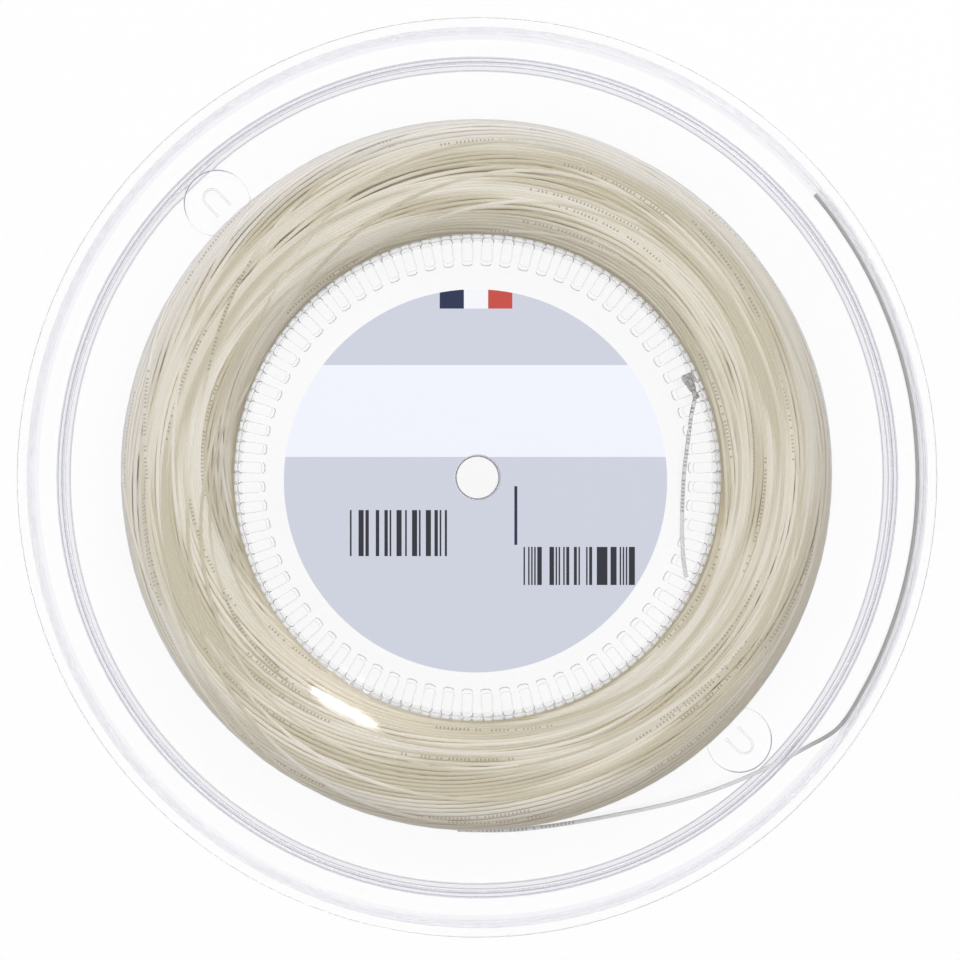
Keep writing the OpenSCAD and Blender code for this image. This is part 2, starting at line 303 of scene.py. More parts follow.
@dataclass(frozen=True)
class ClearPlastic:
    """Clear moulded plastic of the shell, with faint flow waves and handling marks.

    Its bends and cut edges carry painted shade: grey lines in place of the dark lines that refraction of a
    darker surround gives. They are darkest at the window ends, round the clip tongues and on one side of
    each clip's dish, and a faint painted lavender-grey lies on the step and the rim skirt. There is less
    of it on the fine teeth and the rim, where many edges lie close together.
    Rings are the inner and outer radius of a zone round the reel's axis.
    """

    name: str = "clear_moulded_plastic"
    ior: float = 1.5
    roughness: float = 0.02
    mark_scale: float = 900.0
    mark_roughness: float = 0.05
    wave_height: float = 0.02 * MM
    wave_scale: float = 45.0
    tint: Color = (1.0, 1.0, 1.0)
    # Painted shade: grey on the sloping faces, darker on the bends and on the bevelled edges, in place of
    # refraction of a darker surround.
    slope_painted_shade: Color = (0.975, 0.975, 0.99)
    bend_painted_shade: Color = (0.30, 0.30, 0.40)
    edge_painted_shade: Color = (0.44, 0.45, 0.56)
    edge_radius: float = 0.34 * MM
    deep_tint: Color = (0.72, 0.74, 0.92)
    deep_density: float = 9.0
    middle_z: float = 14 * MM
    step_ring: Span = mm(124.4, 126.9)
    step_fade: float = 0.9 * MM
    step_roughness: float = 0.14
    # Painted shade: a faint lavender-grey on the flange's step band.
    step_painted_shade: Color = (0.93, 0.93, 0.955)
    skirt_ring: Span = mm(134.2, 136.4)
    # Painted shade: lavender-grey on the ring where the rim skirt's wall is seen end-on.
    skirt_wall_painted_shade: Color = (0.86, 0.86, 0.93)
    tooth_ring: Span = mm(72.15, 77.0)
    tooth_pass: float = 0.45
    rim_ring: Span = mm(133.5, 139.0)
    rim_pass: float = 0.62
    fine_edge_share: float = 0.3
    back_window_ends: Span = mm(64.2, 65.7)
    front_window_ends: Span = mm(70.9, 72.4)
    end_radius: float = 0.5 * MM
    # Painted shade: the darkest edge lines, at the window ends and round the clip tongues.
    end_painted_shade: Color = (0.08, 0.08, 0.13)
    dish_place: float = 114 * MM
    dish_radius: float = 10 * MM
    dish_line: Span = mm(0.25, 0.08)
    # Painted shade: grey on the outer edge of each clip dish.
    dish_painted_shade: Color = (0.34, 0.34, 0.41)
    tongue_radius: float = 8 * MM
    back_dish_angle: float = 315.0
    front_dish_angle: float = 133.5

    def edges(self, t: MaterialTree, rounded: Socket) -> Socket:
        """Return 1 on the moulding's sharp edges, falling to 0 beside them.

        Args:
            t: The tree to write in.
            rounded: The normal that rounds the edges.
        """
        plain = t.add("ShaderNodeNewGeometry").outputs["Normal"]
        match = t.add("ShaderNodeVectorMath", {0: rounded, 1: plain}, operation="DOT_PRODUCT")
        return t.rise(t.rest(t.math("ABSOLUTE", match.outputs["Value"])), 0.02, 0.22)

    def dish(self, t: MaterialTree, x: Socket, y: Socket, degrees: float) -> tuple[Socket, Socket]:
        """Return covers for painted shade on a clip's tilted dish.

        Args:
            t: The tree to write in.
            x, y: The place across the reel.
            degrees: The clip's direction from the reel's axis.

        Returns:
            1 on the dish's sunken outer edge, where shade is painted, falling to 0 along its sides, and 1
            round its tongue.
        """
        a = math.radians(degrees)
        at = t.polar(
            t.math("SUBTRACT", x, math.cos(a) * self.dish_place),
            t.math("SUBTRACT", y, math.sin(a) * self.dish_place),
        )
        inside, outside = self.dish_line
        near = t.between(at.radius, self.dish_radius - inside, self.dish_radius + outside)
        dish_shade_cover = t.product(near, t.rise(t.facing(at, degrees), 0.05, 0.75))
        return dish_shade_cover, t.math("LESS_THAN", at.radius, self.tongue_radius)

    def color(
        self, t: MaterialTree, rounded: Socket, fine: Socket, dark: Socket, step: Socket, skirt: Socket,
    ) -> Socket:
        """Return the plastic's tint, with painted shade on its slopes, bends, step, skirt and edges.

        Args:
            t: The tree to write in.
            rounded: The normal that rounds the edges.
            fine: 1 where the edges lie close together, else 0.
            dark: 1 where the painted edge shade is darkest, else 0.
            step, skirt: 1 on the flange's step and on the rim skirt, else 0.
        """
        facing = t.math("ABSOLUTE", t.axes(t.way())[2])
        flat = t.rise(facing, 0.90, 0.98)
        upright = t.rest(t.rise(facing, 0.15, 0.35))
        slope = t.rest(t.math("MAXIMUM", flat, upright))
        bend = t.product(t.rise(facing, 0.66, 0.71), t.rest(t.rise(facing, 0.78, 0.92)))
        # Painted shade: a faint grey on the slopes.
        color = t.blend(slope, self.tint, self.slope_painted_shade)
        # Painted shade on the step band and on the rim skirt ring.
        color = t.blend(step, color, self.step_painted_shade)
        color = t.blend(skirt, color, self.skirt_wall_painted_shade)
        share = t.rest(t.product(fine, 1.0 - self.fine_edge_share))
        # Painted shade: dark lines on the bends, fainter on the teeth and rim.
        color = t.blend(t.product(bend, share), color, self.bend_painted_shade)
        # Painted shade: the edge lines are darkest at the window ends and round the clip tongues.
        edge = t.blend(dark, self.edge_painted_shade, self.end_painted_shade)
        # Painted shade: grey lines along the bevelled edges.
        return t.blend(t.product(self.edges(t, rounded), share), color, edge)

    def material(self) -> Material:
        """Build the material.

        Returns:
            A glass-like shader that lets shadow and diffuse light straight through.
        """
        t = MaterialTree(self.name)
        place = t.place()
        x, y, z = t.axes(place)
        radius = t.radius(x, y)
        teeth, rim = t.between(radius, *self.tooth_ring), t.between(radius, *self.rim_ring)
        front = t.math("GREATER_THAN", z, self.middle_z)
        back = t.rest(front)
        ends = dish_shade_cover = tongues = 0.0
        for half, ring, degrees in (
            (back, self.back_window_ends, self.back_dish_angle),
            (front, self.front_window_ends, self.front_dish_angle),
        ):
            outer_edge, tongue = self.dish(t, x, y, degrees)
            ends = t.math("MAXIMUM", ends, t.product(half, t.between(radius, *ring)))
            dish_shade_cover = t.math("MAXIMUM", dish_shade_cover, t.product(half, outer_edge))
            tongues = t.math("MAXIMUM", tongues, t.product(half, tongue))
        inner_step, outer_step = self.step_ring
        step = t.rise(radius, inner_step, inner_step + self.step_fade)
        step = t.product(step, t.math("LESS_THAN", radius, outer_step))
        width = t.math("ADD", self.edge_radius, t.product(ends, self.end_radius))
        rounded = t.add("ShaderNodeBevel", {"Radius": width}, samples=6).outputs[0]
        waves = t.bump(t.noise(place, self.wave_scale), self.wave_height, 0.5)
        t.tree.links.new(rounded, waves.node.inputs["Normal"])
        marks = t.rise(t.noise(place, self.mark_scale, 3.0), 0.45, 0.8, self.mark_roughness)
        rough = t.math("ADD", marks, self.roughness)
        rough = t.math("MAXIMUM", rough, t.product(step, self.step_roughness))
        skirt = t.between(radius, *self.skirt_ring)
        fine, dark = t.math("MAXIMUM", teeth, rim), t.math("MAXIMUM", ends, tongues)
        # Painted shade on each clip dish's outer edge.
        color = t.blend(dish_shade_cover, self.color(t, rounded, fine, dark, step, skirt), self.dish_painted_shade)
        glass = t.principled(
            Base_Color=color, Roughness=rough, IOR=self.ior, Transmission_Weight=1.0, Normal=waves,
        )
        path = t.add("ShaderNodeLightPath").outputs
        straight = t.math("MAXIMUM", path["Is Shadow Ray"], path["Is Diffuse Ray"])
        passing = t.math("ADD", t.product(teeth, self.tooth_pass), t.product(rim, self.rim_pass))
        straight = t.math("MAXIMUM", straight, passing)
        clear = t.add("ShaderNodeBsdfTransparent", {"Color": WHITE})
        feeds = {"Color": (*self.deep_tint, 1.0), "Density": self.deep_density}
        mixed = t.add("ShaderNodeMixShader", {0: straight, 1: glass, 2: clear})
        return t.finish(mixed, t.add("ShaderNodeVolumeAbsorption", feeds))


@dataclass(frozen=True)
class Rectangle:
    """A printed rectangle on the label, in metres from the reel's axis."""

    left: float
    right: float
    low: float
    high: float

    def mask(self, t: MaterialTree, x: Socket, y: Socket) -> Socket:
        """Return 1 inside the rectangle, else 0."""
        return t.product(t.between(x, self.left, self.right), t.between(y, self.low, self.high))


@dataclass(frozen=True)
class BarBlock:
    """A block of plain vertical bars of seeded, uneven widths."""

    area: Rectangle
    module: float
    seed: float

    def mask(self, t: MaterialTree, x: Socket, y: Socket) -> Socket:
        """Return 1 on the bars, else 0."""
        cell = t.math("FLOOR", t.math("DIVIDE", t.math("ADD", x, self.seed), self.module))
        bar = t.math("GREATER_THAN", t.dice(cell), 0.46)
        return t.product(bar, self.area.mask(t, x, y))


@dataclass(frozen=True)
class LabelPaper:
    """Coated label paper printed with a pale band, a three-block stripe and bars."""

    name: str = "printed_label_paper"
    ground: Color = srgb(207, 211, 224)
    band_color: Color = srgb(242, 245, 254)
    ink: Color = srgb(40, 42, 52)
    navy: Color = srgb(30, 42, 76)
    red: Color = srgb(200, 74, 64)
    white: Color = srgb(246, 247, 252)
    band: Rectangle = Rectangle(*mm(-70.0, 70.0, 6.2, 33.9))
    stripe_low: float = 50.9 * MM
    stripe_high: float = 58 * MM
    stripe_edges: tuple[float, ...] = mm(-11.4, -4.1, 3.2, 10.5)
    rule: Rectangle = Rectangle(*mm(11.1, 12.0, -20.3, -2.6))
    left_bars: BarBlock = BarBlock(Rectangle(*mm(-39.0, -9.2, -23.7, -9.8)), 0.52 * MM, 0.2137)
    right_bars: BarBlock = BarBlock(Rectangle(*mm(13.4, 47.8, -32.4, -20.9)), 0.46 * MM, 0.5179)
    mottle_scale: float = 260.0
    fibre_scale: float = 4200.0
    roughness: float = 0.42

    def material(self) -> Material:
        """Build the material.

        Returns:
            Paper whose front carries the print, bare on its back and edge.
        """
        t = MaterialTree(self.name)
        place = t.place()
        x, y, _ = t.axes(place)
        mottle = t.rise(t.noise(place, self.mottle_scale, 3.0), 0.2, 0.8, 0.10)
        ground = t.blend(mottle, self.ground, tuple(0.93 * c for c in self.ground))
        color = t.blend(self.band.mask(t, x, y), ground, self.band_color)
        blocks = zip(self.stripe_edges, self.stripe_edges[1:], (self.navy, self.white, self.red))
        for left, right, ink in blocks:
            area = Rectangle(left, right, self.stripe_low, self.stripe_high)
            color = t.blend(area.mask(t, x, y), color, ink)
        color = t.blend(self.rule.mask(t, x, y), color, self.navy)
        for bars in (self.left_bars, self.right_bars):
            color = t.blend(bars.mask(t, x, y), color, self.ink)
        facing = t.axes(t.way())[2]
        color = t.blend(t.math("GREATER_THAN", facing, 0.5), self.white, color)
        fibres = t.noise(place, self.fibre_scale, 2.0)
        paper = t.principled(
            Base_Color=color, Roughness=t.math("ADD", t.rise(fibres, 0.3, 0.7, 0.08), self.roughness),
            Specular_IOR_Level=0.35, Normal=t.bump(fibres, 0.006 * MM, 0.6),
        )
        return t.finish(paper)


class StringState(Enum):
    """How a stretch of the string lies: its name, how much light gets through it, and its roughness."""

    WOUND = ("wound", 0.0, 0.34)
    OUTER = ("outer_end", 0.35, 0.20)
    INNER = ("inner_end", 0.85, 0.06)
    TIED = ("tied", 0.3, 0.06)


@dataclass(frozen=True)
class PaintedLight:
    """Painted light and shade on the winding, a colour that comes in between two radii.

    Its cover has a mean all round the reel, and swings above it in one direction.
    """

    color: Color
    fade: Span
    mean: float
    degrees: float = 0.0
    swing: float = 0.0

    def cover(self, t: MaterialTree, at: Polar) -> Socket:
        """Return the painted colour's cover.

        Args:
            t: The tree to write in.
            at: The place round the reel's axis.
        """
        side = t.math("MULTIPLY_ADD", t.facing(at, self.degrees), self.swing, self.mean)
        return t.product(t.rise(at.radius, *self.fade), t.math("MAXIMUM", side, 0.0))


@dataclass(frozen=True)
class RacketString:
    """Coated nylon string with short printed marks, which reads by its length and girth.

    A fade is the two radii or heights between which a shade or tint comes in.
    """

    state: StringState
    ior: float = 1.5
    ivory: Color = srgb(246, 240, 227)
    warm: Color = srgb(238, 230, 211)
    warm_length: float = 0.21
    shaded: Color = srgb(209, 199, 171)
    band_length: float = 2.2
    band_spread: float = 1.3
    # Painted shade: khaki that comes in with depth below the winding's surface.
    khaki_painted_shade: Color = srgb(200, 187, 148)
    khaki_shade_depths: Span = mm(0.2, 1.4)
    front_z: float = 26.4 * MM
    back_z: float = 1.6 * MM
    coil_r: float = 107.8 * MM
    front_fade: Span = mm(19.0, 21.5)
    # Painted shade on the rim's lower right and an even grey margin round the rim, and painted light on
    # its upper left; all on the front only.
    rim_painted_light: tuple[PaintedLight, ...] = (
        PaintedLight(srgb(168, 160, 148), mm(96.0, 106.8), mean=0.40, degrees=305.0, swing=0.36),
        PaintedLight(srgb(200, 200, 207), mm(106.0, 107.6), mean=0.60),
        PaintedLight(srgb(240, 236, 232), mm(100.0, 105.0), mean=0.37, degrees=115.0, swing=0.38),
    )
    # Painted shade on the hub side towards the upper left, and a painted highlight towards the lower left,
    # where the tooth ring shines.
    hub_painted_light: tuple[PaintedLight, ...] = (
        PaintedLight(srgb(166, 158, 142), mm(85.0, 75.5), mean=0.18, degrees=112.0, swing=0.36),
        PaintedLight(srgb(252, 242, 220), mm(85.0, 75.5), mean=-2.4, degrees=236.0, swing=3.1),
    )
    # Painted light and shade: each turn's crown is darkened, and its sides in the grooves stay light.
    crown_shade: float = 0.82
    crown_fade: Span = mm(103.5, 107.0)
    clear_grey: Color = srgb(238, 238, 242)
    # Painted shade: the free end is greyer where it runs inside the rim skirt.
    skirt_string_painted_shade: Color = srgb(174, 172, 171)
    skirt_fade: Span = mm(126.0, 132.0)
    fibre_stretch: float = 30.0
    fibre_scale: float = 6.0
    mark: Color = srgb(112, 98, 72)
    mark_pitch: float = 1.2 * MM
    mark_ink: Span = (0.25, 0.70)
    mark_skip: float = 0.18
    mark_row: float = 36 * MM
    mark_every: float = 0.42
    mark_chance: float = 0.8
    mark_strength: float = 0.6

    def bands(self, t: MaterialTree, at: Polar, along: Socket) -> Socket:
        """Return the cover of the broad soft bands in which neighbouring turns lie shaded.

        Args:
            t: The tree to write in.
            at: The place round the reel's axis.
            along: Length along the string, in metres.
        """
        place = t.vector(
            t.product(at.cos, self.band_spread), t.product(at.sin, self.band_spread),
            t.math("DIVIDE", along, self.band_length),
        )
        return t.rise(t.noise(place, 1.0, 2.0), 0.42, 0.60, 0.92)

    def paint_scattered_light(self, t: MaterialTree, color: Socket, at: Polar) -> Socket:
        """Return the colour with painted light and shade, darker on each turn's crown than in the grooves,
        in place of light that scatters through the nylon into the grooves.

        Args:
            t: The tree to write in.
            color: The string's colour.
            at: The place round the reel's axis.
        """
        way_x, way_y, way_z = t.axes(t.way())
        upward = t.math("ABSOLUTE", way_z)
        outward = t.math("ABSOLUTE", t.math("ADD", t.product(way_x, at.cos), t.product(way_y, at.sin)))
        over = t.product(t.math("SUBTRACT", outward, upward), t.rise(at.radius, *self.crown_fade))
        # Painted shade on the crown, painted light in the grooves.
        crown = t.rise(t.math("ADD", upward, over), 0.55, 1.0)
        return t.scaled(color, t.rest(t.product(crown, 1.0 - self.crown_shade)))

    def wound_color(self, t: MaterialTree, place: Socket, along: Socket) -> Socket:
        """Return the colour of the wound string, with painted shade deep in the winding and painted light
        and shade at the rim and the hub.

        Args:
            t: The tree to write in.
            place: The place on the reel.
            along: Length along the string, in metres.
        """
        feeds = {"W": along, "Scale": 1 / self.warm_length, "Detail": 1.0}
        warmth = t.add("ShaderNodeTexNoise", feeds, noise_dimensions="1D").outputs["Fac"]
        color = t.blend(t.rise(warmth, 0.3, 0.7), self.warm, self.ivory)
        x, y, z = t.axes(place)
        at = t.polar(x, y)
        color = t.blend(self.bands(t, at, along), color, self.shaded)
        from_front = t.math("SUBTRACT", self.front_z, z)
        from_flats = t.math("MINIMUM", from_front, t.math("SUBTRACT", z, self.back_z))
        depth = t.math("MINIMUM", from_flats, t.math("SUBTRACT", self.coil_r, at.radius))
        # Painted shade: khaki deeper in the winding, measured from the flats and the rim.
        color = t.blend(t.rise(depth, *self.khaki_shade_depths, 0.9), color, self.khaki_painted_shade)
        # Painted light and shade at the rim, on the front only, then at the hub.
        front = t.rise(z, *self.front_fade)
        for tint in self.rim_painted_light:
            color = t.blend(t.product(tint.cover(t, at), front), color, tint.color)
        for tint in self.hub_painted_light:
            color = t.blend(tint.cover(t, at), color, tint.color)
        return self.paint_scattered_light(t, color, at)

    def free_color(self, t: MaterialTree, place: Socket, fibres: Socket) -> Socket:
        """Return the colour of a free end or the knot, with painted shade where it runs inside the rim
        skirt.

        Args:
            t: The tree to write in.
            place: The place on the reel.
            fibres: Noise along the string's fibres.
        """
        x, y, _ = t.axes(place)
        dimmed = tuple(0.9 * c for c in self.clear_grey)
        color = t.blend(t.rise(fibres, 0.3, 0.7), self.clear_grey, dimmed)
        # Painted shade inside the rim skirt.
        return t.blend(t.rise(t.radius(x, y), *self.skirt_fade), color, self.skirt_string_painted_shade)

    def marks(self, t: MaterialTree, along: Socket) -> Socket:
        """Return the cover of the printed marks, which lie on the side that faces the front.

        Args:
            t: The tree to write in.
            along: Length along the string, in metres.
        """
        step = t.math("DIVIDE", along, self.mark_pitch)
        there = t.math("GREATER_THAN", t.dice(t.math("FLOOR", step)), self.mark_skip)
        inked = t.product(t.between(t.math("FRACT", step), *self.mark_ink), there)
        run = t.math("DIVIDE", along, self.mark_every)
        row = t.math("LESS_THAN", t.math("FRACT", run), self.mark_row / self.mark_every)
        shown = t.math("GREATER_THAN", t.dice(t.math("FLOOR", run)), 1.0 - self.mark_chance)
        upward = t.rise(t.axes(t.way())[2], 0.72, 0.88)
        return t.product(inked, row, shown, upward, self.mark_strength)

    def material(self) -> Material:
        """Build the material.

        Returns:
            The string's finish in this state.
        """
        name, see_through, gloss = self.state.value
        t = MaterialTree(f"racket_string_{name}")
        along = t.attribute("along", "Fac")
        cos, sin, _ = t.axes(t.attribute("girth", "Vector"))
        fibre_place = t.vector(t.product(along, self.fibre_stretch), cos, sin)
        fibres = t.noise(fibre_place, self.fibre_scale, 3.0)
        if self.state is StringState.WOUND:
            color = self.wound_color(t, t.place(), along)
        else:
            color = self.free_color(t, t.place(), fibres)
        coat = t.principled(
            Base_Color=t.blend(self.marks(t, along), color, self.mark), IOR=self.ior,
            Roughness=t.math("ADD", t.rise(fibres, 0.3, 0.7, 0.12), gloss),
            Transmission_Weight=see_through, Normal=t.bump(fibres, 0.02 * MM, 0.35),
        )
        return t.finish(coat)


@dataclass(frozen=True)
class WoundDepth:
    """The dim inner turns, seen only between the outer layers, whose colour is painted shade."""

    name: str = "wound_string_depth"
    # Painted shade: a darker, warmer colour than the outer turns, and darker still in the grooves.
    color: Color = srgb(206, 195, 162)
    groove_painted_shade: Color = srgb(178, 166, 130)

    def material(self) -> Material:
        """Build the material.

        Returns:
            A matt finish with grooves that run round the reel, darkened by painted shade.
        """
        t = MaterialTree(self.name)
        x, y, z = t.axes(t.place())
        turns_passed = t.product(t.math("ADD", t.radius(x, y), z), math.pi / STRING_D)
        ring = t.math("ABSOLUTE", t.math("SINE", turns_passed))
        # Painted shade in the grooves between turns.
        color = t.blend(ring, self.groove_painted_shade, self.color)
        turns = t.principled(Base_Color=color, Roughness=0.6, Normal=t.bump(ring, 0.4 * MM, 0.6))
        return t.finish(turns)


# ---- making meshes ----


@dataclass(frozen=True)
class StrandSweep:
    """A Geometry Nodes tree that sweeps a round strand along a line of points.

    The mesh that comes out carries two attributes: along, the length in metres,
    and girth, the cosine and sine of the angle round the strand.
    """

    radius: float = STRING_D / 2
    sides: int = 8
    wander: float = 0.0
    wander_scale: float = 26.0
    group_name: str = "strand_sweep"

    def build(self) -> bpy.types.NodeTree:
        """Build the tree.

        Returns:
            The tree, with an input for each size.
        """
        t = GeometryTree(self.group_name, {
            "Strand radius": "Float", "Sides": "Int", "Wander": "Float", "Wander scale": "Float",
            "Seed": "Int", "Material": "Material",
        })
        given = t.given
        line = t.add("GeometryNodeMeshToCurve", {0: given["Geometry"]})
        noise = t.add("ShaderNodeTexNoise", {
            "Vector": t.add("GeometryNodeInputPosition"), "W": given["Seed"],
            "Scale": given["Wander scale"], "Detail": 1.0,
        }, noise_dimensions="4D").outputs["Color"]
        centred = t.add("ShaderNodeVectorMath", {0: noise, 1: (0.5, 0.5, 0.5)}, operation="SUBTRACT")
        offset = t.scaled(centred, given["Wander"])
        moved = t.add("GeometryNodeSetPosition", {"Geometry": line, "Offset": offset})
        length = t.add("GeometryNodeSplineParameter").outputs["Length"]
        marked = t.add("GeometryNodeStoreNamedAttribute", {
            "Geometry": moved, "Name": "along", "Value": length,
        }, data_type="FLOAT", domain="POINT")
        upright = t.add("GeometryNodeSetCurveNormal", {"Curve": marked})
        if "Mode" in upright.inputs:
            upright.inputs["Mode"].default_value = "Z Up"
        else:
            upright.mode = "Z_UP"
        circle = t.add("GeometryNodeCurvePrimitiveCircle", {
            "Resolution": given["Sides"], "Radius": given["Strand radius"],
        })
        turn = t.math("MULTIPLY", t.add("GeometryNodeSplineParameter").outputs["Factor"], 2 * math.pi)
        around = t.vector(t.math("COSINE", turn), t.math("SINE", turn))
        ring = t.add("GeometryNodeStoreNamedAttribute", {
            "Geometry": circle, "Name": "girth", "Value": around,
        }, data_type="FLOAT_VECTOR", domain="POINT")
        tube = t.add("GeometryNodeCurveToMesh", {
            "Curve": upright, "Profile Curve": ring, "Fill Caps": True,
        })
        smooth = t.add("GeometryNodeSetShadeSmooth", {"Geometry": tube})
        whole = t.add("GeometryNodeRealizeInstances", {0: smooth})
        dressed = t.add("GeometryNodeSetMaterial", {"Geometry": whole, "Material": given["Material"]})
        t.add("NodeGroupOutput", {0: dressed})
        return t.group

    def sweep(self, name: str, line: np.ndarray, finish: Material, seed: int = 0) -> Piece:
        """Sweep a strand along a line and keep it as a plain mesh.

        Args:
            name: The piece's name.
            line: Points of the centre line, in metres, one row each.
            finish: The strand's finish.
            seed: Seed of the line's wandering off its points.

        Returns:
            The piece.
        """
        rail = bpy.data.meshes.new(f"{name}_line")
        rail.from_pydata(line.tolist(), [(i, i + 1) for i in range(len(line) - 1)], [])
        carrier = add_object(rail.name, rail)
        GeometryTree.put_on(carrier, bpy.data.node_groups.get(self.group_name) or self.build(), {
            "Strand radius": self.radius, "Sides": self.sides, "Wander": self.wander,
            "Wander scale": self.wander_scale, "Seed": seed, "Material": finish,
        })
        graph = bpy.context.evaluated_depsgraph_get()
        mesh = bpy.data.meshes.new_from_object(
            carrier.evaluated_get(graph), preserve_all_data_layers=True, depsgraph=graph,
        )
        mesh.name = name
        bpy.data.objects.remove(carrier)
        bpy.data.meshes.remove(rail)
        return add_object(name, mesh)


def smooth_line(points: Sequence[Sequence[float]], steps: int) -> np.ndarray:
    """Draw a smooth line through chosen points.

    Args:
        points: The chosen points.
        steps: Steps between each two of them.

    Returns:
        The line's points, one row each.
    """
    p = np.array(points, float)
    ends = np.vstack([p[:1], p, p[-1:]])
    rows = []
    for i in range(len(p) - 1):
        a, b, c, d = ends[i:i + 4]
        for t in np.arange(steps) / steps:
            rows.append(0.5 * (2 * b + (c - a) * t + (2 * a - 5 * b + 4 * c - d) * t**2
                               + (3 * b - a - 3 * c + d) * t**3))
    return np.vstack([rows, p[-1:]])


# ---- the studio ----


@dataclass(frozen=True)
class Lamp:
    """A soft lamp that hangs over the reel and faces it, or faces straight down with a turn."""

    name: str
    place: Point
    size: Span
    power: float
    shape: str = "RECTANGLE"
    turn: float | None = None

    def hang(self) -> None:
        """Hang the lamp."""
        lamp = bpy.data.lights.new(self.name, "AREA")
        lamp.shape = self.shape
        lamp.size, lamp.size_y = self.size
        lamp.energy = self.power
        holder = add_object(self.name, lamp)
        holder.location = self.place
        if self.turn is None:
            holder.rotation_euler = Vector(self.place).to_track_quat("Z", "Y").to_euler()
        else:
            holder.rotation_euler = (0.0, 0.0, self.turn)


@dataclass(frozen=True)
class Studio:
    """Camera, floor, sky and lamps. The glint's reflection lies on the front's lower left."""

    eye: Point = (-0.0138, 0.0020, 1.428)
    lens: float = 174.2
    shift: Span = (0.0503, -0.0095)
    floor_radius: float = 9.0
    floor_corners: int = 64
    floor_gap: float = 0.2 * MM
    floor_white: float = 0.95
    floor_glow: float = 0.90
    sky_levels: Span = (0.34, 0.98)
    horizon_seen: float = 0.45
    horizon_height: float = 0.6
    key: Lamp = Lamp("soft_key", (0.55, 1.1, 1.6), (0.9, 0.9), 9.0)
    fill: Lamp = Lamp("soft_fill", (-1.0, -0.5, 1.5), (1.0, 1.0), 2.4)
    glint: Lamp = Lamp(
        "glint", (-0.078, -0.159, 1.43), (0.052, 0.013), 0.030, "ELLIPSE", math.radians(-30),
    )

    def place_camera(self) -> None:
        """Look straight down on the reel's labelled face."""
        lens = bpy.data.cameras.new("eye")
        lens.lens = self.lens
        lens.shift_x, lens.shift_y = self.shift
        camera = add_object("eye", lens)
        camera.location = self.eye
        bpy.context.scene.camera = camera

    def lay_floor(self) -> None:
        """Make the pale floor that the reel lies on."""
        corners = range(self.floor_corners)
        turns = [2 * math.pi * i / self.floor_corners for i in corners]
        r, z = self.floor_radius, -self.floor_gap
        mesh = bpy.data.meshes.new("floor")
        mesh.from_pydata([(r * math.cos(a), r * math.sin(a), z) for a in turns], [], [tuple(corners)])
        mesh.materials.append(self.floor_material())
        add_object("floor", mesh)

    def floor_material(self) -> Material:
        """Return plain white paper, a little lifted where the camera sees it."""
        t = MaterialTree("floor_paper")
        paper = t.add("ShaderNodeBsdfDiffuse", {"Color": (self.floor_white,) * 3 + (1.0,)})
        glow = t.add("ShaderNodeEmission", {"Color": WHITE, "Strength": 1.0})
        path = t.add("ShaderNodeLightPath").outputs
        bent = t.math("MAXIMUM", path["Is Glossy Ray"], path["Is Transmission Ray"])
        seen = t.product(t.math("MAXIMUM", path["Is Camera Ray"], bent), self.floor_glow)
        return t.finish(t.add("ShaderNodeMixShader", {0: seen, 1: paper, 2: glow}))

    def hang_sky(self) -> None:
        """Light the reel from a soft sky that is dimmer towards the horizon."""
        world = bpy.data.worlds.new("studio_sky")
        world.use_nodes = True
        bpy.context.scene.world = world
        t = Tree(world.node_tree)
        upward = t.add("ShaderNodeTexCoord").outputs["Generated"]
        height = t.add("ShaderNodeSeparateXYZ", {0: upward}).outputs[2]
        level = t.ramp(height, (0.0, 1.0), self.sky_levels)
        lit = t.add("ShaderNodeBackground", {"Color": WHITE, "Strength": level})
        through = t.ramp(height, (0.0, self.horizon_height), (self.horizon_seen, 1.0))
        path = t.add("ShaderNodeLightPath").outputs
        shown = t.math("MAXIMUM", through, path["Is Camera Ray"])
        seen = t.add("ShaderNodeBackground", {"Color": WHITE, "Strength": shown})
        direct = t.math("MAXIMUM", path["Is Camera Ray"], path["Is Transmission Ray"])
        mixed = t.add("ShaderNodeMixShader", {0: direct, 1: lit, 2: seen})
        t.add("ShaderNodeOutputWorld", {"Surface": mixed})

    def build(self) -> None:
        """Set the floor, sky, lamps and colour handling."""
        self.lay_floor()
        self.hang_sky()
        for lamp in (self.key, self.fill, self.glint):
            lamp.hang()
        scene = bpy.context.scene
        scene.view_settings.view_transform = "Standard"
        scene.cycles.max_bounces = 24
        scene.cycles.diffuse_bounces = 8
        scene.cycles.transmission_bounces = 20
        scene.cycles.transparent_max_bounces = 32


# ---- the string ----


